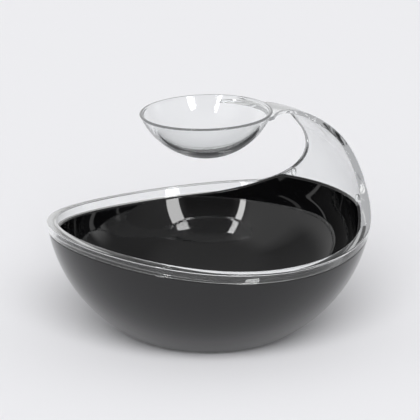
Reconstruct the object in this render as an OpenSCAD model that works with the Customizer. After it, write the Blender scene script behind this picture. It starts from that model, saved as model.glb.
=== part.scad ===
// Chip and dip server: a glossy bowl with a clear rim collar whose arm
// sweeps up and over to hold a clear dip cup above the middle of the bowl.
// Millimetres. The origin is on the bowl's axis, on the table. +X points
// towards the arm and +Z is up. The server is a mirror image across Y = 0.

/* [Bowl] */
// Width of the bowl at its widest
bowl_d = 300; // [220:1:380]
// Height of the widest level above the table
belly_z = 122.6; // [110:0.1:140]
// Distance from the widest level to the pole of the rounded bottom
belly_drop = 139; // [130:0.5:160]
// Wall of the outer bowl
outer_wall = 3; // [2:0.1:4]
// Thickness of the outer bowl's floor
outer_floor = 3; // [2:0.1:6]

/* [Liner] */
// Radial gap between the collar and the liner
liner_fit = 0.4; // [0.3:0.1:1.5]
// Wall of the inner bowl
liner_wall = 2.4; // [1.6:0.1:4]
// Height of the liner's straight band, where its rounded side begins
liner_band_z = 98; // [90:0.5:105]
// Distance from the band to the pole of the liner's rounded bottom
liner_drop = 95; // [91:0.5:110]
// Radius of the liner's foot ring
liner_foot_r = 42; // [25:1:55]
// Height of the liner's foot ring
liner_foot_h = 4.5; // [2:0.5:8]
// Height of the liner's raised edge in front of the arm
plateau_z = 116.4; // [112:0.1:118]

/* [Rim] */
// Top of the collar on the arm's side and opposite it
rim_z = 111.5; // [108:0.1:114]
// How far the rim dips at the two low sides
rim_dip = 16; // [8:0.5:22]
// Height of the collar's outer face
collar_h = 9.2; // [6:0.1:12]
// Width of the collar's top, at its low sides
collar_w = 6.8; // [5:0.1:10]
// Depth of the lip that drops inside the outer bowl
lip_h = 4.2; // [2:0.1:5]
// Thickness of the outer bowl's edge beside the lip
edge_w = 1.5; // [1:0.1:2]
// Gap between the collar and the outer bowl
seam_gap = 0.3; // [0.2:0.05:0.6]

/* [Arm] */
// Height of the arm's top where it meets the cup
arm_top_z = 206; // [190:1:220]
// Thickness of the arm at the cup
arm_tip_t = 3; // [2:0.1:5]
// Half the width of the arm at its neck
neck_w = 17; // [12:0.5:24]
// Half the width of the arm where it holds the cup
grip_w = 37.5; // [26:0.5:44]

/* [Dip cup] */
// Width of the cup
cup_d = 122; // [90:1:140]
// Depth of the cup outside
cup_depth = 42.2; // [30:0.1:48]
// How far the cup's rim stands above the arm's top
cup_rise = 5; // [2:0.5:7]
// Wall of the cup at its rim
cup_wall = 3; // [2:0.1:5]
// Thickness of the cup at the bottom
cup_floor = 4; // [2:0.1:7]
// How far the cup's centre stands off the bowl's axis, away from the arm
cup_off = 3; // [0:0.5:10]
// Droop of the cup's free side, in degrees
cup_droop = 1.7; // [0:0.1:4]

/* [Pads] */
// Diameter of a non-slip pad
pad_d = 14; // [8:1:20]
// Thickness of a pad
pad_t = 2.2; // [1.6:0.1:3]
// How far a pad stands proud of the base
pad_proud = 1; // [0.5:0.1:1.2]
// Radius of the circle of pads
pad_ring_r = 56; // [35:1:62]

/* [Hidden] */
$fn = 180;

bowl_r = bowl_d / 2;
base_z = pad_proud;
outer_floor_z = base_z + outer_floor;
base_dish = 0.8;            // hollow in the middle of the underside
base_dish_r = pad_ring_r - pad_d / 2 - 3;

// The rim is cut by a long level arch that runs along X
arch_r = (bowl_r * bowl_r + rim_dip * rim_dip) / (2 * rim_dip);
arch_fn = 720;
seam_z = rim_z - collar_h;
low_seam_z = seam_z - rim_dip;
fuse = 1;                   // overlap that joins lip and collar

// Inside of the collar, a straight wall, and the liner that stands in it
collar_in_r = side_r(rim_z - rim_dip) - collar_w;
liner_r = collar_in_r - liner_fit;
liner_floor_z = outer_floor_z + liner_foot_h;
liner_foot_w = 3;
liner_rim_z = seam_z + 1.7; // top of the liner opposite the arm
liner_arch_r = liner_r * liner_r / (2 * (rim_dip + 0.1));
plateau_w = 64;             // half the width of the raised edge
plateau_end_w = 124;        // where the raised edge has sunk into the rim

// Arm: where its curved profile leaves the collar, and where it ends
arm_root_z = 112;
arm_tip_r = cup_d / 2 - cup_off - 2;
arm_end_r = arm_tip_r - 6;  // the arm's end before the cup's wall cuts it
profile_steps = 40;
outline_steps = 16;
side_steps = 32;

// Dip cup: two round bowls, one inside the other
cup_r = cup_d / 2;
cup_ball_r = (cup_r * cup_r + cup_depth * cup_depth) / (2 * cup_depth);
cup_hollow = cup_depth - cup_floor;
cup_in_r = cup_r - cup_wall;
cup_hollow_ball_r = (cup_in_r * cup_in_r + cup_hollow * cup_hollow) / (2 * cup_hollow);
cup_rim_z = arm_top_z + cup_rise - cup_r * sin(cup_droop);

// Small nibs on the arm's foot that sit on the liner's raised edge
nib_angle = 22.5;
nib_w = 4;
nib_h = 7;
nib_reach = 2.2;

// Radius of the bowl's rounded side at height z, moved in by inset
function side_r(z, inset = 0) =
    (bowl_r - inset) * sqrt(1 - pow((z - belly_z) / (belly_drop - inset), 2));

// Points up the rounded side from z_low to z_high
function side_arc(inset, z_low, z_high) =
    let (drop = belly_drop - inset,
         a0 = asin((z_low - belly_z) / drop),
         a1 = asin((z_high - belly_z) / drop))
    [for (i = [0:side_steps])
        let (a = a0 + (a1 - a0) * i / side_steps)
        [(bowl_r - inset) * cos(a), belly_z + drop * sin(a)]];

// Points up the liner's rounded side, moved in by inset, from z_low to its band
function liner_arc(inset, z_low) =
    let (drop = liner_drop - inset,
         a0 = asin((z_low - liner_band_z) / drop))
    [for (i = [0:side_steps])
        let (a = a0 * (1 - i / side_steps))
        [(liner_r - inset) * cos(a), liner_band_z + drop * sin(a)]];

// Point at t, from 0 to 1, on the cubic curve that four points p steer
function curve_at(p, t) =
    pow(1 - t, 3) * p[0] + 3 * t * pow(1 - t, 2) * p[1]
    + 3 * t * t * (1 - t) * p[2] + pow(t, 3) * p[3];
function curve(p, steps) = [for (i = [0:steps]) curve_at(p, i / steps)];
function reversed(points) = [for (i = [len(points) - 1:-1:0]) points[i]];
function mirrored(points) = [for (p = reversed(points)) [-p[0], p[1]]];

// Everything under an arch along X whose top is at height top_z
module under_arch(top_z, radius = arch_r) {
    translate([0, 0, top_z - radius])
        rotate([0, 90, 0])
            cylinder(r = radius, h = 2 * bowl_d, center = true, $fn = arch_fn);
}

// Plate that stands across X, from x0 to x1, with its outline in Y and Z
module plate_across(points, x0, x1) {
    translate([x0, 0, 0])
        rotate([90, 0, 90])
            linear_extrude(height = x1 - x0)
                polygon(points);
}

module outer_bowl() {
    top_z = seam_z + 2;
    color([0.09, 0.09, 0.09])
    difference() {
        intersection() {
            rotate_extrude()
                polygon(concat([[0, base_z]],
                               side_arc(0, base_z, top_z),
                               reversed(side_arc(outer_wall, outer_floor_z, top_z)),
                               [[0, outer_floor_z]]));
            under_arch(seam_z - seam_gap);
        }
        rabbet();
        translate([0, 0, base_z - 1])
            cylinder(r = base_dish_r, h = base_dish + 1);
        for (i = [1:4])
            pad_place(i)
                translate([0, 0, -1])
                    cylinder(d = pad_d, h = pad_t + 1);
    }
}

// Step inside the outer bowl's edge that takes the collar's lip
module rabbet() {
    low_z = low_seam_z - lip_h - 2;
    high_z = seam_z + 3;
    difference() {
        rotate_extrude()
            polygon(concat([[0, low_z]],
                           side_arc(edge_w, low_z, high_z),
                           [[0, high_z]]));
        under_arch(seam_z - lip_h - seam_gap);
    }
}

module inner_bowl() {
    color([0.05, 0.05, 0.05])
    union() {
        intersection() {
            rotate_extrude()
                polygon(concat([[0, liner_floor_z]],
                               liner_arc(0, liner_floor_z),
                               [[liner_r, plateau_z], [liner_r - liner_wall, plateau_z]],
                               reversed(liner_arc(liner_wall, liner_floor_z + liner_wall)),
                               [[0, liner_floor_z + liner_wall]]));
            union() {
                under_arch(liner_rim_z, liner_arch_r);
                raised_edge();
            }
        }
        difference() {
            translate([0, 0, outer_floor_z])
                cylinder(r = liner_foot_r, h = liner_foot_h + liner_wall / 2);
            translate([0, 0, outer_floor_z - 1])
                cylinder(r = liner_foot_r - liner_foot_w, h = liner_foot_h + liner_wall);
        }
    }
}

// Outline of the liner's raised edge: level, then sinking into the rim
module raised_edge() {
    end_z = liner_rim_z - plateau_end_w * plateau_end_w / (2 * liner_arch_r) - 0.5;
    slope = curve([[plateau_w, plateau_z], [plateau_w + 12, plateau_z - 4],
                   [plateau_end_w - 28, end_z + 7], [plateau_end_w, end_z]],
                  outline_steps);
    low_z = outer_floor_z;
    plate_across(concat(mirrored(slope), slope,
                        [[plateau_end_w, low_z], [-plateau_end_w, low_z]]),
                 0, bowl_r);
}

module collar_arm() {
    color([0.85, 0.88, 0.9, 0.4])
    difference() {
        union() {
            difference() {
                intersection() {
                    crown_round();
                    union() {
                        under_arch(rim_z);
                        arm_outline();
                    }
                }
                under_arch(seam_z);
            }
            collar_lip();
            arm_nibs();
        }
        cup_envelope();
    }
}

// Round solid that the collar and the arm are cut from: the collar's ring,
// going on above it as a dome whose wall thins towards the cup
module crown_round() {
    low_z = low_seam_z - 4;
    root_out_r = side_r(arm_root_z);
    inside = curve([[collar_in_r, arm_root_z], [collar_in_r + 8, 161.7],
                    [112.5, arm_top_z - 5], [arm_tip_r, arm_top_z - arm_tip_t]],
                   profile_steps);
    outside = curve([[root_out_r, arm_root_z], [root_out_r + 5.7, 166],
                     [111.7, arm_top_z], [arm_tip_r, arm_top_z]],
                    profile_steps);
    rotate_extrude()
        polygon(concat([[collar_in_r, low_z]], inside,
                       [[arm_end_r, arm_top_z - arm_tip_t], [arm_end_r, arm_top_z]],
                       reversed(outside),
                       reversed(side_arc(0, low_z, arm_root_z - 1))));
}

// What the arm keeps of the dome: its outline seen from the front, and
// from above, where it narrows to the neck and widens to hold the cup
module arm_outline() {
    waist_w = neck_w + 3.3;
    foot = curve([[97, 104], [76.7, 108.6], [38.9, 128], [32.5, 170]], outline_steps);
    shoulder = curve([[32.5, 170], [32, 181], [waist_w + 7.2, 184], [waist_w, 193]],
                     outline_steps);
    waist_z = 197.4;
    open_w = bowl_r;
    front = concat(foot, shoulder, [[waist_w, waist_z], [open_w, waist_z],
                                    [open_w, arm_top_z + 10]]);
    neck_x = 85;
    neck_start_x = 97;
    plan = concat([[bowl_r + 10, open_w], [neck_start_x, open_w]],
                  curve([[neck_start_x, waist_w], [neck_x + 8, neck_w + 1.3],
                         [neck_x + 5, neck_w], [neck_x, neck_w]], outline_steps),
                  curve([[neck_x, neck_w], [neck_x - 15, neck_w],
                         [59.5, grip_w - 14.5], [46, grip_w]], outline_steps),
                  [[40.5, grip_w + 2.8]]);
    intersection() {
        plate_across(concat(front, mirrored(front)), 20, bowl_r + 5);
        linear_extrude(height = arm_top_z + 20)
            polygon(concat(plan, [for (p = reversed(plan)) [p[0], -p[1]]]));
    }
}

// Lip that drops inside the outer bowl's edge
module collar_lip() {
    low_z = low_seam_z - lip_h - 1;
    high_z = seam_z + 3;
    difference() {
        intersection() {
            rotate_extrude()
                polygon(concat([[collar_in_r, low_z]],
                               side_arc(edge_w + seam_gap, low_z, high_z),
                               [[collar_in_r, high_z]]));
            under_arch(seam_z + fuse);
        }
        under_arch(seam_z - lip_h);
    }
}

// Two nibs on the inside of the arm's foot, resting on the liner's edge
module arm_nibs() {
    for (side = [-1, 1])
        rotate([0, 0, side * nib_angle])
            translate([collar_in_r - nib_reach, -nib_w / 2, plateau_z])
                cube([nib_reach + 2, nib_w, nib_h]);
}

// Puts a piece drawn about the cup's axis, rim at z = 0, where the cup is
module cup_place() {
    translate([-cup_off, 0, cup_rim_z])
        rotate([0, -cup_droop, 0])
            children();
}

// The ball that the cup's outside is part of
module cup_envelope() {
    cup_place()
        translate([0, 0, cup_ball_r - cup_depth])
            sphere(r = cup_ball_r);
}

module dip_cup() {
    color([0.85, 0.88, 0.9, 0.4])
    cup_place()
    difference() {
        intersection() {
            translate([0, 0, cup_ball_r - cup_depth])
                sphere(r = cup_ball_r);
            translate([0, 0, -cup_depth - 1])
                cylinder(r = cup_ball_r + 1, h = cup_depth + 1);
        }
        translate([0, 0, cup_hollow_ball_r - cup_hollow])
            sphere(r = cup_hollow_ball_r);
    }
}

// Puts a pad's own origin, on the table, at place i of the four
module pad_place(i) {
    rotate([0, 0, 45 + 90 * (i - 1)])
        translate([pad_ring_r, 0, 0])
            children();
}

module foot_pad(i) {
    color([0.8, 0.8, 0.8])
    pad_place(i)
        cylinder(d = pad_d, h = pad_t);
}

outer_bowl();
inner_bowl();
collar_arm();
dip_cup();
foot_pad(1);  // foot_pad_1
foot_pad(2);  // foot_pad_2
foot_pad(3);  // foot_pad_3
foot_pad(4);  // foot_pad_4
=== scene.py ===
# %% [markdown]
# Chip and dip server
#
# A black bowl with a black liner nested in it, and a clear acrylic crown: a
# wavy collar round the rim whose arm sweeps up and over to hold a clear dip
# cup above the middle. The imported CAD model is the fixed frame. Its sizes are
# right, but its surfaces are cut from flat and conical strips, which gloss
# and clear plastic would show at once. So every piece is made again here as a
# smooth surface worked out with numpy, on the same sizes, and each one rides
# on the body of the CAD piece that it stands for.

# %% Load the frame
import math

import bmesh
import bpy
import numpy as np
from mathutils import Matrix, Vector


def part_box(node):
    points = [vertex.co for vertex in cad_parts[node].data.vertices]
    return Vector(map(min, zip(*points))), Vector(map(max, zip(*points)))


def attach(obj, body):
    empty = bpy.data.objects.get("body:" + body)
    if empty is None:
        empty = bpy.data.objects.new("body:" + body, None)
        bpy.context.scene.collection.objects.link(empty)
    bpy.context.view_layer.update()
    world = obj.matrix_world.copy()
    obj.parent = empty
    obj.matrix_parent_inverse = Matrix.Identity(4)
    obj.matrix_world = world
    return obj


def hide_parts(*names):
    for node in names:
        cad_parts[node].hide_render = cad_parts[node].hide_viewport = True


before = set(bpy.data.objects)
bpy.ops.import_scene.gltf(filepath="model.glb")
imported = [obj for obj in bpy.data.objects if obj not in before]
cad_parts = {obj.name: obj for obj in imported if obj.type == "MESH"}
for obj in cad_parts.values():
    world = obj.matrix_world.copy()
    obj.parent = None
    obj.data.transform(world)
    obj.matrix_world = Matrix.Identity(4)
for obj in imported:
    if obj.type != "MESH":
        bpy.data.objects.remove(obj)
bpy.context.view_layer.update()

MM = 0.001

# %% [markdown]
# The sizes that the surfaces share. Overall heights come from the frame's
# boxes. The bowl's side is part of an ellipse turned about the axis, and the
# rim is cut by a long level arch, so its height falls away only with the
# distance from the mirror plane, Y = 0.

# %% Sizes shared by the pieces
outer_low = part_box("outer_bowl")[0]
liner_low, liner_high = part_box("inner_bowl")
crown_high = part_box("collar_arm")[1]
cup_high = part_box("dip_cup")[1]

BOWL_R = 150 * MM
BELLY_Z = 122.6 * MM          # height of the widest level
BELLY_DROP = 139 * MM         # from there to the pole of the rounded bottom
OUTER_WALL = 3 * MM
BASE_Z = outer_low[2]
FLOOR_Z = liner_low[2]        # the outer bowl's floor, on which the liner stands
RIM_Z = 111.5 * MM            # top of the collar at Y = 0
RIM_DIP = 16 * MM             # how much lower it is at the two low sides
SEAM_Z = RIM_Z - 9.2 * MM     # bottom of the collar's outer face, at Y = 0
ARCH_R = (BOWL_R ** 2 + RIM_DIP ** 2) / (2 * RIM_DIP)
SEAM_GAP = 0.3 * MM
EDGE_W = 1.5 * MM             # the outer bowl's edge, beside the collar's lip
LIP_H = 4.2 * MM              # how far that lip drops inside the outer bowl
PLATEAU_Z = liner_high[2]     # top of the liner's raised edge
LINER_R = (liner_high[0] - liner_low[0]) / 2
LINER_WALL = 2.4 * MM
BAND_Z = 98 * MM              # where the liner's straight band begins
LINER_DROP = 95 * MM
COLLAR_IN_R = LINER_R + 0.4 * MM
ARM_TOP_Z = crown_high[2]
CUP_RIM_Z = cup_high[2]       # top of the cup's rim on the arm's side
AROUND = 480                  # points round a turned surface
PHI = np.linspace(0, 2 * math.pi, AROUND, endpoint=False)


def side_r(z, inset=0.0):
    """Radius of the bowl's side at height z, moved in by inset: an ellipse."""
    rise = (z - BELLY_Z) / (BELLY_DROP - inset)
    return (BOWL_R - inset) * np.sqrt(1 - rise ** 2)


def arch_z(top_z, y, radius=ARCH_R):
    """Height of the long level arch at distance y from the mirror plane."""
    return top_z - (radius - np.sqrt(radius ** 2 - y ** 2))


def curve(points, count):
    """Cubic curve steered by four points, as count rows."""
    t = np.linspace(0, 1, count)[:, None]
    p = np.asarray(points, float)
    return ((1 - t) ** 3 * p[0] + 3 * t * (1 - t) ** 2 * p[1]
            + 3 * t ** 2 * (1 - t) * p[2] + t ** 3 * p[3])


def ease(x):
    """Smooth step from 0 to 1 as x goes from 0 to 1."""
    x = np.clip(x, 0, 1)
    return x * x * (3 - 2 * x)


print("liner radius", round(LINER_R / MM, 2), "mm; arch radius", round(ARCH_R / MM, 1), "mm")

# %% [markdown]
# Meshes from grids. A surface is a grid of points, and a grid of the points'
# numbers says which four make each face. Two grids that share a row of numbers
# are joined there, so a shape with branches, such as the collar with its arm,
# is still one closed skin. At the end every face is turned to point outwards.

# %% Helpers that make meshes
class Skin:
    """Collects points and faces of one closed mesh."""

    def __init__(self):
        self.points = []
        self.faces = []
        self.count = 0

    def add(self, points):
        """Adds an array of points (..., 3) and returns the grid of their numbers."""
        flat = np.asarray(points, float).reshape(-1, 3)
        ids = np.arange(self.count, self.count + len(flat)).reshape(np.shape(points)[:-1])
        self.points.append(flat)
        self.count += len(flat)
        return ids

    def weave(self, ids):
        """Fills a grid of numbers with four-sided faces."""
        quads = np.stack([ids[:-1, :-1], ids[1:, :-1], ids[1:, 1:], ids[:-1, 1:]], axis=-1)
        self.faces += quads.reshape(-1, 4).tolist()

    def cap(self, ring, pole):
        """Closes a ring of numbers (its last repeats its first) with a fan to one point."""
        tip = int(self.add(np.asarray(pole, float)[None, :])[0])
        self.faces += [[int(a), int(b), tip] for a, b in zip(ring[:-1], ring[1:])]

    def finish(self, name):
        mesh = bpy.data.meshes.new(name)
        mesh.from_pydata(np.concatenate(self.points).tolist(), [], self.faces)
        bm = bmesh.new()
        bm.from_mesh(mesh)
        bmesh.ops.recalc_face_normals(bm, faces=bm.faces)
        open_edges = sum(1 for e in bm.edges if not e.is_manifold)
        bm.to_mesh(mesh)
        bm.free()
        mesh.shade_smooth()
        piece = bpy.data.objects.new(name, mesh)
        bpy.context.scene.collection.objects.link(piece)
        print(f"{name}: {len(mesh.polygons)} faces, {open_edges} open edges")
        return piece


def wrapped(ids):
    """A grid of numbers whose last column repeats its first."""
    return np.concatenate([ids, ids[:, :1]], axis=1)


def turned(name, r, z):
    """Closed skin turned about Z. r and z are (rows, AROUND) arrays; the first
    and last rows close to a pole on the axis at their own mean height."""
    skin = Skin()
    ids = wrapped(skin.add(np.stack([r * np.cos(PHI), r * np.sin(PHI), z], axis=-1)))
    skin.weave(ids)
    skin.cap(ids[0], (0, 0, z[0].mean()))
    skin.cap(ids[-1], (0, 0, z[-1].mean()))
    return skin.finish(name)


def cut_height(top_z, inset=0.0):
    """Height, at each angle, where the arch cuts the bowl's side."""
    z = np.full(AROUND, top_z - RIM_DIP / 2)
    for _ in range(30):
        z = arch_z(top_z, side_r(z, inset) * np.sin(PHI))
    return z


def flat_rows(pairs):
    """Rows of constant radius and height from (r, z) pairs."""
    pairs = np.asarray(pairs, float)
    return (np.repeat(pairs[:, :1], AROUND, axis=1), np.repeat(pairs[:, 1:], AROUND, axis=1))


def quarter(steps):
    """Angles of a quarter turn, both ends left out."""
    return np.linspace(0, math.pi / 2, steps + 2)[1:-1]


# %% [markdown]
# The outer bowl is injection moulded with a 3 mm wall. Its edge has a step
# inside that takes the collar's lip. The outline goes from the middle of the
# underside, out and up the side, over the edge and down the inside.

# %% Outer bowl
def outer_bowl():
    seam = cut_height(SEAM_Z - SEAM_GAP)
    step = seam - LIP_H
    dish_r, dish_h, bend = 46 * MM, 0.8 * MM, 2.5 * MM
    foot_z = BASE_Z + bend
    foot_r = side_r(foot_z)
    base_r = side_r(BASE_Z) - 0.6 * MM
    ring, high = flat_rows([(2 * MM, BASE_Z + dish_h), (dish_r - 1.2 * MM, BASE_Z + dish_h),
                            (dish_r - 0.4 * MM, BASE_Z + dish_h * 0.7),
                            (dish_r + 0.3 * MM, BASE_Z + dish_h * 0.1),
                            (dish_r + 1.2 * MM, BASE_Z), (base_r - bend, BASE_Z),
                            (base_r - bend * 0.4, BASE_Z + bend * 0.06),
                            (base_r + (foot_r - base_r) * 0.25, BASE_Z + bend * 0.3),
                            (base_r + (foot_r - base_r) * 0.65, BASE_Z + bend * 0.65)])
    radii, heights = [ring], [high]
    s = np.linspace(0, 1, 60)[:, None]
    side_z = foot_z + (seam - 0.6 * MM - foot_z) * s
    radii.append(side_r(side_z))
    heights.append(side_z)
    edge = [(0.1, -0.25), (0.3, -0.06), (0.6, 0), (1.1, 0), (1.3, -0.06), (1.5, -0.3), (1.5, -2)]
    for inset, drop in edge:
        z = seam + drop * MM
        radii.append(side_r(z, inset * MM)[None, :])
        heights.append(z[None, :])
    for inset in (EDGE_W, OUTER_WALL - 0.3 * MM):
        radii.append(side_r(step, inset)[None, :])
        heights.append(step[None, :])
    inner_z = (step - 0.3 * MM) + (FLOOR_Z + 1.5 * MM - step) * s
    radii.append(side_r(inner_z, OUTER_WALL))
    heights.append(inner_z)
    floor_r = side_r(FLOOR_Z + 1.5 * MM, OUTER_WALL)
    ring, high = flat_rows([(floor_r - 2 * MM, FLOOR_Z + 0.4 * MM), (floor_r - 5 * MM, FLOOR_Z),
                            (30 * MM, FLOOR_Z), (2 * MM, FLOOR_Z)])
    radii.append(ring)
    heights.append(high)
    return turned("outer_bowl_shell", np.concatenate(radii), np.concatenate(heights))


outer = outer_bowl()
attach(outer, "base")
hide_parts("outer_bowl")

# %% [markdown]
# The inner bowl is a rounded liner with a straight band at its top, so that
# the collar slides down over it. Its edge follows the rim, a little below the
# collar's top, and in front of the arm it rises to a level shoulder that shows
# through the clear arm as a black edge.

# %% Inner bowl
def liner_edge():
    """Height of the liner's edge at each angle: the arch, or the raised edge."""
    low_z = SEAM_Z + 1.7 * MM
    radius = LINER_R ** 2 / (2 * (RIM_DIP + 0.1 * MM))
    y = np.abs(LINER_R * np.sin(PHI))
    rim = arch_z(low_z, y, radius)
    flat_w, end_w = 64 * MM, 124 * MM
    end_z = low_z - end_w ** 2 / (2 * radius) - 0.5 * MM
    slope = curve([(flat_w, PLATEAU_Z), (flat_w + 12 * MM, PLATEAU_Z - 4 * MM),
                   (end_w - 28 * MM, end_z + 7 * MM), (end_w, end_z)], 60)
    raised = np.interp(y, slope[:, 0], slope[:, 1], left=PLATEAU_Z, right=0)
    return np.where(np.cos(PHI) > 0, np.maximum(rim, raised), rim)


def liner_side(z, inset):
    """Radius of the liner's side, straight above the band's height."""
    rise = np.minimum(z - BAND_Z, 0) / (LINER_DROP - inset)
    return (LINER_R - inset) * np.sqrt(np.maximum(1 - rise ** 2, 0))


def inner_bowl():
    edge = liner_edge()
    foot_r, foot_w, foot_h = 42 * MM, 3 * MM, 4.5 * MM
    under_z = FLOOR_Z + foot_h
    floor_z = under_z + LINER_WALL
    ring, high = flat_rows([(2 * MM, under_z), (foot_r - foot_w - 0.5 * MM, under_z),
                            (foot_r - foot_w, FLOOR_Z + 0.4 * MM),
                            (foot_r - foot_w + 0.5 * MM, FLOOR_Z), (foot_r - 0.5 * MM, FLOOR_Z),
                            (foot_r, FLOOR_Z + 0.5 * MM), (foot_r, under_z),
                            (liner_side(under_z, 0) - 0.5 * MM, under_z)])
    radii, heights = [ring], [high]
    s = np.linspace(0, 1, 70)[:, None]
    lean = 1 - np.cos(s * math.pi / 2)      # rows crowd where the side is steepest to the floor
    side_z = under_z + 0.4 * MM + (edge - 0.8 * MM - under_z) * (0.35 * s + 0.65 * lean)
    radii.append(liner_side(side_z, 0))
    heights.append(side_z)
    bend = 0.8 * MM
    for a in quarter(3):
        z = edge - bend + bend * math.sin(a)
        radii.append((liner_side(edge, 0) - bend + bend * math.cos(a))[None, :])
        heights.append(z[None, :])
    for a in quarter(3)[::-1]:
        z = edge - bend + bend * math.sin(a)
        radii.append((liner_side(edge, LINER_WALL) + bend - bend * math.cos(a))[None, :])
        heights.append(z[None, :])
    inner_z = floor_z + 0.5 * MM + (edge - 0.8 * MM - floor_z) * (0.35 * s + 0.65 * lean)[::-1]
    radii.append(liner_side(inner_z, LINER_WALL))
    heights.append(inner_z)
    floor_r = liner_side(floor_z, LINER_WALL)
    ring, high = flat_rows([(floor_r, floor_z + 0.1 * MM), (floor_r - 6 * MM, floor_z),
                            (20 * MM, floor_z), (2 * MM, floor_z)])
    radii.append(ring)
    heights.append(high)
    return turned("inner_bowl_liner", np.concatenate(radii), np.concatenate(heights))


liner = inner_bowl()
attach(liner, "liner")
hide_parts("inner_bowl")

# %% [markdown]
# The clear crown is one moulding. Its wall is a ring that goes on upwards,
# in front of the bowl's +X side, as part of a dome. The dome's inside and
# outside are two curves turned about the axis, and the wall thins from 8 mm
# at the collar to 3 mm at the cup. The arm's edges are given as a half width
# at each height, and past the shoulder as a half width at each radius.

# %% Crown: its profile and its outline
ROOT_Z = 112 * MM
CUP_R, CUP_DEPTH, CUP_OFF = 61 * MM, 42.2 * MM, 3 * MM
CUP_BALL_R = (CUP_R ** 2 + CUP_DEPTH ** 2) / (2 * CUP_DEPTH)
ARM_TIP_T = 3 * MM
TIP_R = CUP_R - CUP_OFF - 2 * MM
END_R = TIP_R - 6 * MM
root_r = float(side_r(ROOT_Z))
inner_curve = curve([(COLLAR_IN_R, ROOT_Z), (COLLAR_IN_R + 8 * MM, 161.7 * MM),
                     (112.5 * MM, ARM_TOP_Z - 5 * MM), (TIP_R, ARM_TOP_Z - ARM_TIP_T)], 400)
outer_curve = curve([(root_r, ROOT_Z), (root_r + 5.55 * MM, 166 * MM),
                     (111.7 * MM, ARM_TOP_Z), (TIP_R, ARM_TOP_Z)], 400)
DOME_IN = np.concatenate([inner_curve, [(END_R, ARM_TOP_Z - ARM_TIP_T)]])
DOME_OUT = np.concatenate([outer_curve, [(END_R, ARM_TOP_Z)]])
NECK_W, GRIP_W, NECK_X = 17 * MM, 37.5 * MM, 85 * MM
WAIST_W, WAIST_Z = NECK_W + 3.3 * MM, 193 * MM
foot = curve([(97, 104), (76.7, 108.6), (38.9, 128), (32.5, 170)], 60) * MM
shoulder = curve([(32.5 * MM, 170 * MM), (32 * MM, 181 * MM),
                  (WAIST_W + 7.2 * MM, 184 * MM), (WAIST_W, WAIST_Z)], 40)
FRONT = np.concatenate([foot, shoulder[1:]])            # (half width, height)
waist = curve([(97 * MM, WAIST_W), (93 * MM, NECK_W + 1.3 * MM),
               (90 * MM, NECK_W), (NECK_X, NECK_W)], 30)
flare = curve([(NECK_X, NECK_W), (NECK_X - 15 * MM, NECK_W),
               (59.5 * MM, GRIP_W - 14.5 * MM), (46 * MM, GRIP_W)], 60)
PLAN = np.concatenate([waist, flare[1:], [(40.5 * MM, GRIP_W + 2.8 * MM)]])   # (x, half width)


def half_width(r, z):
    """Half the arm's width where its wall is at radius r and height z."""
    by_height = np.interp(z, FRONT[:, 1], FRONT[:, 0])
    plan_r = np.hypot(PLAN[:, 0], PLAN[:, 1])[::-1]
    by_radius = np.interp(r, plan_r, PLAN[::-1, 1])
    return np.where(z < WAIST_Z, by_height, by_radius)


def ball_r(depth):
    """Radius of the cup's outside at a depth below its rim."""
    return math.sqrt(CUP_BALL_R ** 2 - (CUP_BALL_R - CUP_DEPTH + depth) ** 2)


def ring_r_in(z):
    """Radius of the crown's inside up to the arm's foot."""
    return np.where(z < ROOT_Z, COLLAR_IN_R, np.interp(z, DOME_IN[:, 1], DOME_IN[:, 0]))


def ring_r_out(z):
    """Radius of the crown's outside up to the arm's foot."""
    low = side_r(np.minimum(z, ROOT_Z))
    return np.where(z < ROOT_Z, low, np.interp(z, DOME_OUT[:, 1], DOME_OUT[:, 0]))


def top_edge(radius_of, phi):
    """Height of the crown's top at angle phi: the arch, or the arm's foot."""
    z = np.full(len(phi), RIM_Z)
    for _ in range(60):
        y = np.abs(radius_of(z) * np.sin(phi))
        rim = arch_z(RIM_Z, y)
        rise = np.interp(y, FRONT[::-1, 0], FRONT[::-1, 1], right=0)
        z = 0.5 * z + 0.5 * np.where(np.cos(phi) > 0, np.maximum(rim, rise), rim)
    return z


# %% [markdown]
# The crown's skin is four sheets that share their edges: an outside and an
# inside, the step and lip underneath, and a rounded band that runs along the
# whole top edge, up one side of the arm, round its end and down the other.

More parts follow.
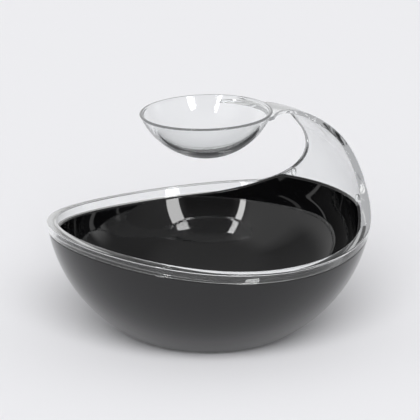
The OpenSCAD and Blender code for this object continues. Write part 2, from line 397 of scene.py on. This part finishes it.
# %% Crown
def crown():
    foot_z = 124 * MM                  # where the arm's sheets stand on the ring's
    arm_cols, arm_rows, fine_rows = 49, 150, 45
    ring_cols, ring_rows, crowding = 420, 14, 0.06
    edge_a = {}
    for key, radius_of in (("in", ring_r_in), ("out", ring_r_out)):
        r = float(radius_of(np.array([foot_z]))[0])
        edge_a[key] = math.asin(float(half_width(r, foot_z)) / r)

    def columns(key):
        """Angles of all columns: first the arm's, then the rest of the ring."""
        a = edge_a[key]
        across = np.linspace(-a, a, arm_cols)
        s = np.linspace(0, 1, ring_cols + 2)[1:-1]
        crowd = s - crowding * np.sin(2 * math.pi * s)
        return np.concatenate([across, a + (2 * math.pi - 2 * a) * crowd])

    def ring_sheet(key, radius_of, low_z):
        phi = columns(key)
        top = top_edge(radius_of, phi)
        top[:arm_cols] = foot_z
        s = np.linspace(0, 1, ring_rows)[:, None]
        z = low_z + (top - low_z) * s
        r = radius_of(z)
        return np.stack([r * np.cos(phi), r * np.sin(phi), z], axis=-1)

    def arm_sheet(dome, cup_edge_r):
        """Rows from the foot to the cup. Each spreads its columns over the arm's width."""
        start = np.searchsorted(dome[:, 1], foot_z)
        path = dome[start:]
        length = np.concatenate([[0], np.cumsum(np.hypot(*np.diff(path, axis=0).T))])
        stop = np.interp(-(cup_edge_r - CUP_OFF), -path[:, 0], length)
        fine = 16 * MM                     # where the arm opens to hold the cup
        along = np.concatenate([np.linspace(0, stop - fine, arm_rows - fine_rows + 1)[1:],
                                np.linspace(stop - fine, stop, fine_rows + 1)[1:]])
        r = np.interp(along, length, path[:, 0])
        z = np.interp(along, length, path[:, 1])
        spread = np.arcsin(half_width(r, z) / r)
        across = np.linspace(-1, 1, arm_cols)
        phi = spread[:, None] * across
        reach = -CUP_OFF * np.cos(phi) + np.sqrt(cup_edge_r ** 2 - (CUP_OFF * np.sin(phi)) ** 2)
        late = ease(4 * along / stop - 3)[:, None]     # the last quarter turns to the cup's edge
        r = r[:, None] + (reach - (cup_edge_r - CUP_OFF)) * late
        z = z[:, None] + np.zeros(arm_cols)
        return np.stack([r * np.cos(phi), r * np.sin(phi), z], axis=-1)

    phi_out = columns("out")
    seam = np.full(len(phi_out), SEAM_Z)
    for _ in range(30):
        seam = arch_z(SEAM_Z, side_r(seam) * np.sin(phi_out))
    ring_out = ring_sheet("out", ring_r_out, seam + 0.4 * MM)
    ring_in = ring_sheet("in", ring_r_in, seam - LIP_H + 0.4 * MM)
    drop = CUP_RIM_Z - ARM_TOP_Z
    arm_out = arm_sheet(DOME_OUT, ball_r(drop) + 0.03 * MM)
    arm_in = arm_sheet(DOME_IN, ball_r(drop + ARM_TIP_T) + 0.03 * MM)

    # The edge loop: up one side of the arm, along its end, down and round the rim
    def loop(ring, arm):
        return np.concatenate([ring[-1, :1], arm[:, 0], arm[-1, 1:-1], arm[::-1, -1],
                               ring[-1, arm_cols - 1:]])

    corner_out, corner_in = loop(ring_out, arm_out), loop(ring_in, arm_in)
    middle = (corner_out + corner_in) / 2
    ahead = np.roll(middle, -1, axis=0) - np.roll(middle, 1, axis=0)
    ahead /= np.linalg.norm(ahead, axis=1)[:, None]
    through = corner_out - corner_in
    wall = np.linalg.norm(through, axis=1)[:, None]
    through /= wall
    inward = np.cross(through, ahead)
    inward /= np.linalg.norm(inward, axis=1)[:, None]
    inward *= -np.sign(inward[len(inward) * 3 // 4, 2])
    bend_out, bend_in = np.minimum(1.3 * MM, wall * 0.3), np.minimum(0.8 * MM, wall * 0.2)
    for bend in (bend_out, bend_in):
        bend[arm_rows:arm_rows + arm_cols] = 0.15 * MM          # almost sharp along the cup

    def arc(corner, bend, sign):
        """Points round a rounded edge, from the sheet to the edge face."""
        centre = corner + bend * inward - sign * bend * through
        a = np.linspace(0, math.pi / 2, 5)[:, None, None]
        return centre + bend * (sign * through * np.cos(a) - inward * np.sin(a))

    arc_out, arc_in = arc(corner_out, bend_out, 1), arc(corner_in, bend_in, -1)
    skin = Skin()

    def settle(ring, arm, edge_row):
        """Moves the sheets' edge points back to where the rounding starts."""
        ring[-1, 0] = edge_row[0]
        arm[:, 0] = edge_row[1:arm_rows + 1]
        arm[-1, 1:-1] = edge_row[arm_rows + 1:arm_rows + arm_cols - 1]
        arm[::-1, -1] = edge_row[arm_rows + arm_cols - 1:2 * arm_rows + arm_cols - 1]
        ring[-1, arm_cols - 1:] = edge_row[2 * arm_rows + arm_cols - 1:]

    sheets = {}
    for key, ring, arm, edge_row in (("out", ring_out, arm_out, arc_out[0]),
                                     ("in", ring_in, arm_in, arc_in[0])):
        settle(ring, arm, edge_row)
        ring_ids, arm_ids = skin.add(ring), skin.add(arm)
        skin.weave(wrapped(ring_ids))
        skin.weave(np.concatenate([ring_ids[-1:, :arm_cols], arm_ids]))
        sheets[key] = (ring_ids, np.concatenate([ring_ids[-1, :1], arm_ids[:, 0], arm_ids[-1, 1:-1],
                                                 arm_ids[::-1, -1], ring_ids[-1, arm_cols - 1:]]))
    band = [sheets["out"][1][None, :], skin.add(arc_out[1:]), skin.add(arc_in[:0:-1]),
            sheets["in"][1][None, :]]
    skin.weave(wrapped(np.concatenate(band)))

    # Underneath: the seam face, the lip that drops inside the outer bowl, and its foot
    phi_in = columns("in")
    low = seam - LIP_H
    under = []
    for phi, r, z in ((phi_out, side_r(seam) - 0.4 * MM, seam),
                      (phi_out, side_r(seam, EDGE_W + SEAM_GAP), seam),
                      (phi_out, side_r(low + 0.4 * MM, EDGE_W + SEAM_GAP), low + 0.4 * MM),
                      (phi_out, side_r(low, EDGE_W + SEAM_GAP) - 0.3 * MM, low),
                      (phi_in, COLLAR_IN_R + 0.3 * MM + 0 * low, low)):
        under.append(np.stack([r * np.cos(phi), r * np.sin(phi), z], axis=-1))
    ids = skin.add(np.array(under))
    skin.weave(wrapped(np.concatenate([sheets["out"][0][:1], ids, sheets["in"][0][:1]])))
    return skin.finish("rim_collar_and_arm")


collar = crown()
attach(collar, "crown")
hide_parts("collar_arm")

# %% [markdown]
# Inside the arm's foot, two small moulded nibs rest on the liner's raised edge.

# %% Nibs on the crown
NIB_W, NIB_H, NIB_REACH, NIB_ANGLE = 3.8 * MM, 7 * MM, 2.2 * MM, 22.5


def nib(name, angle):
    """A block with rounded corners, from the crown's wall in over the liner's edge."""
    near, far = COLLAR_IN_R - NIB_REACH, COLLAR_IN_R + 2 * MM
    middle_z = PLATEAU_Z + NIB_H / 2
    bend = 0.6 * MM
    a = np.linspace(0, 2 * math.pi, 32, endpoint=False)
    square = np.maximum(np.abs(np.cos(a)), np.abs(np.sin(a))) ** 0.6
    across, up = NIB_W / 2 * np.cos(a) / square, NIB_H / 2 * np.sin(a) / square
    skin = Skin()
    rows = []
    for r, share in ((near, 0.75), (near + bend * 0.3, 0.92), (near + bend, 1.0), (far, 1.0)):
        y = across * share
        rows.append(np.stack([r * math.cos(angle) - y * math.sin(angle),
                              r * math.sin(angle) + y * math.cos(angle),
                              middle_z + up * share], axis=-1))
    ids = wrapped(skin.add(np.array(rows)))
    skin.weave(ids)
    for row, r in ((0, near), (-1, far)):
        skin.cap(ids[row], (r * math.cos(angle), r * math.sin(angle), middle_z))
    piece = skin.finish(name)
    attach(piece, "crown")
    return piece


nibs = [nib("crown_nib_left", math.radians(NIB_ANGLE)),
        nib("crown_nib_right", math.radians(-NIB_ANGLE))]

# %% [markdown]
# The dip cup is two ball-shaped bowls, one in the other, so its wall thickens
# from 3 mm at the rim to 4 mm at the bottom. A round gate mark, where the
# plastic ran into the mould, is left in the middle of the underside.

# %% Dip cup
def ball_bowl(rim_r, depth, count):
    """(r, z) rows of a ball's lower part, from its pole up to a rim at z = 0."""
    ball = (rim_r ** 2 + depth ** 2) / (2 * depth)
    a = np.linspace(0, math.asin(rim_r / ball), count)
    return np.stack([ball * np.sin(a), ball - depth - ball * np.cos(a)], axis=-1)


def dip_cup():
    depth, wall, bottom, droop = CUP_DEPTH, 3 * MM, 4 * MM, math.radians(1.7)
    outside = ball_bowl(CUP_R, depth, 70)
    mark = outside[:, 0] < 4 * MM
    outside[mark, 1] += 0.35 * MM
    inside = ball_bowl(CUP_R - wall, depth - bottom, 60)[::-1]
    bend = 1.1 * MM
    a = np.linspace(0, math.pi, 13)
    top = np.stack([CUP_R - wall / 2 + (wall / 2 - 0.1 * MM) * np.cos(a),
                    -bend + bend * np.sin(a)], axis=-1)
    keep_out = outside[:, 1] < -bend
    keep_in = inside[:, 1] < -bend
    profile = np.concatenate([outside[keep_out][1:], top, inside[keep_in][:-1]])
    r, z = flat_rows(profile)
    x, y = r * np.cos(PHI), r * np.sin(PHI)
    skin = Skin()
    rim_z = CUP_RIM_Z - CUP_R * math.sin(droop)

    def place(x, y, z):
        """Tips the cup down on its free side and lifts it to its height."""
        return np.stack([x * math.cos(droop) - z * math.sin(droop) - CUP_OFF, y,
                         x * math.sin(droop) + z * math.cos(droop) + rim_z], axis=-1)

    ids = wrapped(skin.add(place(x, y, z)))
    skin.weave(ids)
    skin.cap(ids[0], place(0.0, 0.0, profile[0, 1]))
    skin.cap(ids[-1], place(0.0, 0.0, profile[-1, 1]))
    return skin.finish("dip_cup_clear")


cup = dip_cup()
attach(cup, "crown")
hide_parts("dip_cup")

# %% [markdown]
# Four soft clear pads keep the bowl from sliding. Each is a small disc with a
# domed underside edge, pressed into its seat in the base.

# %% Non-slip pads
def pad(number):
    low, high = (np.array(c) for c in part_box(f"foot_pad_{number}"))
    centre, radius, tall = (low + high) / 2, (high[0] - low[0]) / 2, high[2] - low[2]
    bend = 0.8 * MM
    a = np.linspace(0, math.pi / 2, 7)
    edge = np.stack([radius - bend + bend * np.sin(a), bend - bend * np.cos(a)], axis=-1)
    profile = np.concatenate([[(radius * 0.3, 0)], edge, [(radius, tall), (radius * 0.3, tall)]])
    phi = np.linspace(0, 2 * math.pi, 48, endpoint=False)
    grid = np.stack([centre[0] + profile[:, :1] * np.cos(phi),
                     centre[1] + profile[:, :1] * np.sin(phi),
                     low[2] + profile[:, 1:] + 0 * phi], axis=-1)
    skin = Skin()
    ids = wrapped(skin.add(grid))
    skin.weave(ids)
    skin.cap(ids[0], (centre[0], centre[1], low[2]))
    skin.cap(ids[-1], (centre[0], centre[1], high[2]))
    piece = skin.finish(f"non_slip_pad_{number}")
    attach(piece, "base")
    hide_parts(f"foot_pad_{number}")
    return piece


pads = [pad(number) for number in (1, 2, 3, 4)]

# %% [markdown]
# Finishes. One function turns a hex colour to linear light, and one adds a
# node with its settings and links.

# %% Helpers that make materials
def linear(hex_colour, alpha=1.0):
    """sRGB hex such as '1a1a1a' to linear RGBA."""
    parts = np.array([int(hex_colour[i:i + 2], 16) / 255 for i in (0, 2, 4)])
    light = np.where(parts <= 0.04045, parts / 12.92, ((parts + 0.055) / 1.055) ** 2.4)
    return (*light.tolist(), alpha)


def add_node(tree, kind, settings=None, **inputs):
    """Adds a node. settings are its own properties; inputs are socket values or links,
    with an underscore for each space in the socket's name."""
    node = tree.nodes.new(kind)
    for name, value in (settings or {}).items():
        setattr(node, name, value)
    for name, value in inputs.items():
        socket = node.inputs[name.replace("_", " ")]
        if isinstance(value, bpy.types.NodeSocket):
            tree.links.new(value, socket)
        else:
            socket.default_value = value
    return node


def new_material(name):
    material = bpy.data.materials.new(name)
    material.use_nodes = True
    tree = material.node_tree
    tree.nodes.clear()
    return material, tree


# %% [markdown]
# Glossy black ABS or SAN, moulded in a polished tool. Its colour is almost
# black and most of what the eye sees is reflection. The skin has a very slight
# long-wave unevenness from shrinkage and a faint variation in gloss.

# %% Moulded black plastic
def moulded_black(name, hex_colour, gloss_low, gloss_high):
    material, tree = new_material(name)
    place = add_node(tree, "ShaderNodeTexCoord").outputs["Object"]
    haze = add_node(tree, "ShaderNodeTexNoise", Vector=place, Scale=40.0, Detail=4.0)
    rough = add_node(tree, "ShaderNodeMapRange", Value=haze.outputs["Fac"],
                     From_Min=0.3, From_Max=0.7, To_Min=gloss_low, To_Max=gloss_high)
    swell = add_node(tree, "ShaderNodeTexNoise", Vector=place, Scale=14.0, Detail=1.0)
    bump = add_node(tree, "ShaderNodeBump", Strength=0.05, Distance=0.0006,
                    Height=swell.outputs["Fac"])
    skin = add_node(tree, "ShaderNodeBsdfPrincipled", Roughness=rough.outputs["Result"],
                    Normal=bump.outputs["Normal"])
    skin.inputs["Base Color"].default_value = linear(hex_colour)
    skin.inputs["IOR"].default_value = 1.53
    add_node(tree, "ShaderNodeOutputMaterial", Surface=skin.outputs["BSDF"])
    return material


outer.data.materials.append(moulded_black("black_abs_outer", "0b0b0c", 0.05, 0.09))
liner.data.materials.append(moulded_black("black_abs_liner", "070708", 0.02, 0.05))

# %% [markdown]
# Clear acrylic, or PMMA, bends light with an IOR of 1.49 and has almost no
# colour of its own. Polished moulding leaves only a very faint swell. Light
# runs along inside the arm and the rims, and turns there more often than it is
# followed. Past three turns the plastic is painted as a flat pale grey glow,
# an emission that stands in for the light that is not followed.

# %% Clear acrylic
def clear_acrylic(name, hex_colour, painted_glow):
    material, tree = new_material(name)
    place = add_node(tree, "ShaderNodeTexCoord").outputs["Object"]
    swell = add_node(tree, "ShaderNodeTexNoise", Vector=place, Scale=30.0, Detail=1.0)
    bump = add_node(tree, "ShaderNodeBump", Strength=0.04, Distance=0.0004,
                    Height=swell.outputs["Fac"])
    skin = add_node(tree, "ShaderNodeBsdfPrincipled", Normal=bump.outputs["Normal"])
    skin.inputs["Base Color"].default_value = linear(hex_colour)
    skin.inputs["Roughness"].default_value = 0.0
    skin.inputs["IOR"].default_value = 1.49
    skin.inputs["Transmission Weight"].default_value = 1.0
    skin.inputs["Specular IOR Level"].default_value = 0.3
    # Painted light: past three glossy turns the surface stops bending light and glows in the given
    # grey.
    turns = add_node(tree, "ShaderNodeLightPath").outputs["Glossy Depth"]
    lost = add_node(tree, "ShaderNodeMath", {"operation": "GREATER_THAN"})
    tree.links.new(turns, lost.inputs[0])
    lost.inputs[1].default_value = 3.5
    glow = add_node(tree, "ShaderNodeEmission")
    glow.inputs["Color"].default_value = linear(painted_glow)
    whole = add_node(tree, "ShaderNodeMixShader", Fac=lost.outputs["Value"])
    tree.links.new(skin.outputs["BSDF"], whole.inputs[1])
    tree.links.new(glow.outputs["Emission"], whole.inputs[2])
    add_node(tree, "ShaderNodeOutputMaterial", Surface=whole.outputs["Shader"])
    return material


# The last colour is the painted glow: pale grey in the crown, darker grey in the cup.
crown_acrylic = clear_acrylic("clear_acrylic_crown", "fdfefe", "aeafb1")
for piece in (collar, *nibs):
    piece.data.materials.append(crown_acrylic)
cup.data.materials.append(clear_acrylic("clear_acrylic_cup", "fdfefe", "808183"))

# %% [markdown]
# Soft clear silicone for the pads: milky, satin and a little translucent.

# %% Clear silicone
def clear_silicone():
    material, tree = new_material("clear_silicone")
    place = add_node(tree, "ShaderNodeTexCoord").outputs["Object"]
    cloud = add_node(tree, "ShaderNodeTexNoise", Vector=place, Scale=300.0, Detail=3.0)
    rough = add_node(tree, "ShaderNodeMapRange", Value=cloud.outputs["Fac"],
                     To_Min=0.3, To_Max=0.5)
    skin = add_node(tree, "ShaderNodeBsdfPrincipled", Roughness=rough.outputs["Result"])
    skin.inputs["Base Color"].default_value = linear("d4d6d6")
    skin.inputs["IOR"].default_value = 1.41
    skin.inputs["Transmission Weight"].default_value = 0.6
    add_node(tree, "ShaderNodeOutputMaterial", Surface=skin.outputs["BSDF"])
    return material


silicone = clear_silicone()
for piece in pads:
    piece.data.materials.append(silicone)

# %% [markdown]
# The stage: a pale floor that runs out of sight, in a light tent. Gloss shows
# whatever stands round it, so the surroundings are described by direction:
# dark behind the camera, a bright wall on its left, a dimmer one on its right
# and a white one at the back. Light that leaves clear plastic finds the same
# walls, a little paler. Matt surfaces are lit evenly from all round instead,
# and by one very soft sun from the camera's side, so the contact shadow stays
# soft. Two tall soft boxes flank the camera. They show only in gloss, where
# they draw the long streaks inside the liner.

# %% Floor
def floor():
    mesh = bpy.data.meshes.new("floor")
    far = 12.0
    mesh.from_pydata([(-far, -far, 0), (far, -far, 0), (far, far, 0), (-far, far, 0)], [],
                     [(0, 1, 2, 3)])
    piece = bpy.data.objects.new("floor", mesh)
    bpy.context.scene.collection.objects.link(piece)
    material, tree = new_material("seamless_paper")
    paper = add_node(tree, "ShaderNodeBsdfPrincipled")
    paper.inputs["Base Color"].default_value = linear("ebebee")
    paper.inputs["Roughness"].default_value = 0.9
    add_node(tree, "ShaderNodeOutputMaterial", Surface=paper.outputs["BSDF"])
    mesh.materials.append(material)


floor()

# %% Surroundings
# Azimuths are degrees from the -Y side. The tables give the brightness of the
# walls by azimuth, low down and higher up.
CAMERA_AZIMUTH = -32
LOW_WALLS = [(-180, 1.0), (-130, 0.9), (-66, 0.95), (-56, 0.35), (-50, 0.15), (-14, 0.15),
             (-6, 0.5), (20, 0.4), (62, 0.15), (68, 1.3), (76, 1.2), (82, 0.2), (105, 0.25),
             (145, 0.9), (180, 1.0)]
HIGH_WALLS = [(-180, 0.4), (-125, 0.35), (-105, 0.85), (-66, 1.0), (-56, 0.4), (-50, 0.22),
              (-18, 0.22), (0, 0.45), (30, 0.38), (70, 0.28), (180, 0.4)]
ROOF = 0.5                    # brightness straight overhead
EVEN_LIGHT = 0.42             # what a matt surface receives from every side
CLEAR_DARK = 0.2              # what light that leaves clear plastic finds where a wall is black


def wall_ramp(tree, place, walls):
    """A colour ramp that reads brightness, halved to stay within 0 to 1, from azimuth."""
    ramp = add_node(tree, "ShaderNodeValToRGB", Fac=place)
    stops = ramp.color_ramp.elements
    stops[0].position, stops[1].position = 0, 1
    for azimuth, _ in walls[1:-1]:
        stops.new((azimuth + 180) / 360)
    for stop, (_, level) in zip(stops, walls):
        stop.color = (level / 2, level / 2, level / 2, 1)
    return ramp.outputs["Color"]


def between(tree, share, start, end, **settings):
    """A node whose result goes from start to end as share goes from 0 to 1."""
    node = add_node(tree, "ShaderNodeMapRange", settings, Value=share, To_Min=start, To_Max=end)
    return node.outputs["Result"]


def studio():
    world = bpy.data.worlds.new("studio")
    bpy.context.scene.world = world
    world.use_nodes = True
    tree = world.node_tree
    tree.nodes.clear()
    place = add_node(tree, "ShaderNodeTexCoord").outputs["Generated"]
    split = add_node(tree, "ShaderNodeSeparateXYZ", Vector=place).outputs
    turn = add_node(tree, "ShaderNodeMath", {"operation": "ARCTAN2"})
    tree.links.new(split["X"], turn.inputs[0])
    tree.links.new(between(tree, split["Y"], 0.0, -1.0, clamp=False), turn.inputs[1])
    azimuth = add_node(tree, "ShaderNodeMapRange", Value=turn.outputs["Value"],
                       From_Min=-math.pi, From_Max=math.pi).outputs["Result"]
    rise = add_node(tree, "ShaderNodeMapRange", {"interpolation_type": "SMOOTHSTEP"},
                    Value=split["Z"], From_Min=0.2, From_Max=0.55).outputs["Result"]
    roof = add_node(tree, "ShaderNodeMapRange", {"interpolation_type": "SMOOTHSTEP"},
                    Value=split["Z"], From_Min=0.8, From_Max=0.95).outputs["Result"]
    walls = between(tree, rise, wall_ramp(tree, azimuth, LOW_WALLS),
                    wall_ramp(tree, azimuth, HIGH_WALLS))
    seen = add_node(tree, "ShaderNodeMath", {"operation": "ADD"})
    for socket in seen.inputs[:2]:
        tree.links.new(between(tree, roof, walls, ROOF / 2), socket)
    path = add_node(tree, "ShaderNodeLightPath").outputs
    beyond = between(tree, seen.outputs["Value"], CLEAR_DARK, 1.0)
    mirrored = between(tree, path["Is Glossy Ray"], EVEN_LIGHT, seen.outputs["Value"])
    back = add_node(tree, "ShaderNodeBackground", Color=(1, 1, 1, 1),
                    Strength=between(tree, path["Is Transmission Ray"], mirrored, beyond))
    add_node(tree, "ShaderNodeOutputWorld", Surface=back.outputs["Background"])


def round_about(azimuth, elevation, reach):
    """Place at an azimuth from the -Y side and an elevation, in degrees, about the bowl."""
    turn, tip = math.radians(azimuth), math.radians(elevation)
    return (reach * math.sin(turn) * math.cos(tip), -reach * math.cos(turn) * math.cos(tip),
            0.1 + reach * math.sin(tip))


def soft_box(name, azimuth, elevation, reach, size, radiance):
    """A flat lamp that only gloss shows. radiance is its brightness: 1 shows as white."""
    light = bpy.data.lights.new(name, "AREA")
    light.shape = "RECTANGLE"
    light.size, light.size_y = size
    light.energy = radiance * math.pi * size[0] * size[1]
    box = bpy.data.objects.new(name, light)
    box.location = round_about(azimuth, elevation, reach)
    box.rotation_euler = (Vector((0, 0, 0.1)) - box.location).to_track_quat("-Z", "Y").to_euler()
    box.visible_camera = box.visible_diffuse = False
    bpy.context.scene.collection.objects.link(box)


def front_fill(azimuth, elevation, spread, floor_light):
    """A very soft sun. floor_light is its share of a white floor's brightness."""
    light = bpy.data.lights.new("front_fill", "SUN")
    light.angle = math.radians(spread)
    light.energy = floor_light * math.pi / math.sin(math.radians(elevation))
    sun = bpy.data.objects.new("front_fill", light)
    sun.location = round_about(azimuth, elevation, 4.0)
    sun.rotation_euler = (-sun.location).to_track_quat("-Z", "Y").to_euler()
    sun.visible_camera = sun.visible_glossy = sun.visible_transmission = False
    bpy.context.scene.collection.objects.link(sun)


studio()
front_fill(CAMERA_AZIMUTH, 32, 50, 0.6)
soft_box("right_soft_box", -2, 24, 1.5, (0.28, 1.6), 10)
soft_box("left_soft_box", -60, 28, 1.5, (0.13, 1.7), 12)

# %% [markdown]
# A long lens from a little above, so that the ellipses of the rim and the cup
# stay gentle.

# %% Camera
def camera():
    turn, tip, reach = math.radians(CAMERA_AZIMUTH), math.radians(16.3), 2.6
    aim = Vector((0, 0, 0.115)) + Vector((math.cos(turn), math.sin(turn), 0)) * 1.0 * MM
    eye = aim + reach * Vector((math.sin(turn) * math.cos(tip), -math.cos(turn) * math.cos(tip),
                                math.sin(tip)))
    lens = bpy.data.cameras.new("camera")
    lens.lens = 242
    lens.clip_end = 60
    view = bpy.data.objects.new("camera", lens)
    view.location = eye
    view.rotation_euler = (aim - eye).to_track_quat("-Z", "Y").to_euler()
    bpy.context.scene.collection.objects.link(view)
    bpy.context.scene.camera = view


camera()
bpy.context.scene.view_settings.view_transform = "Standard"
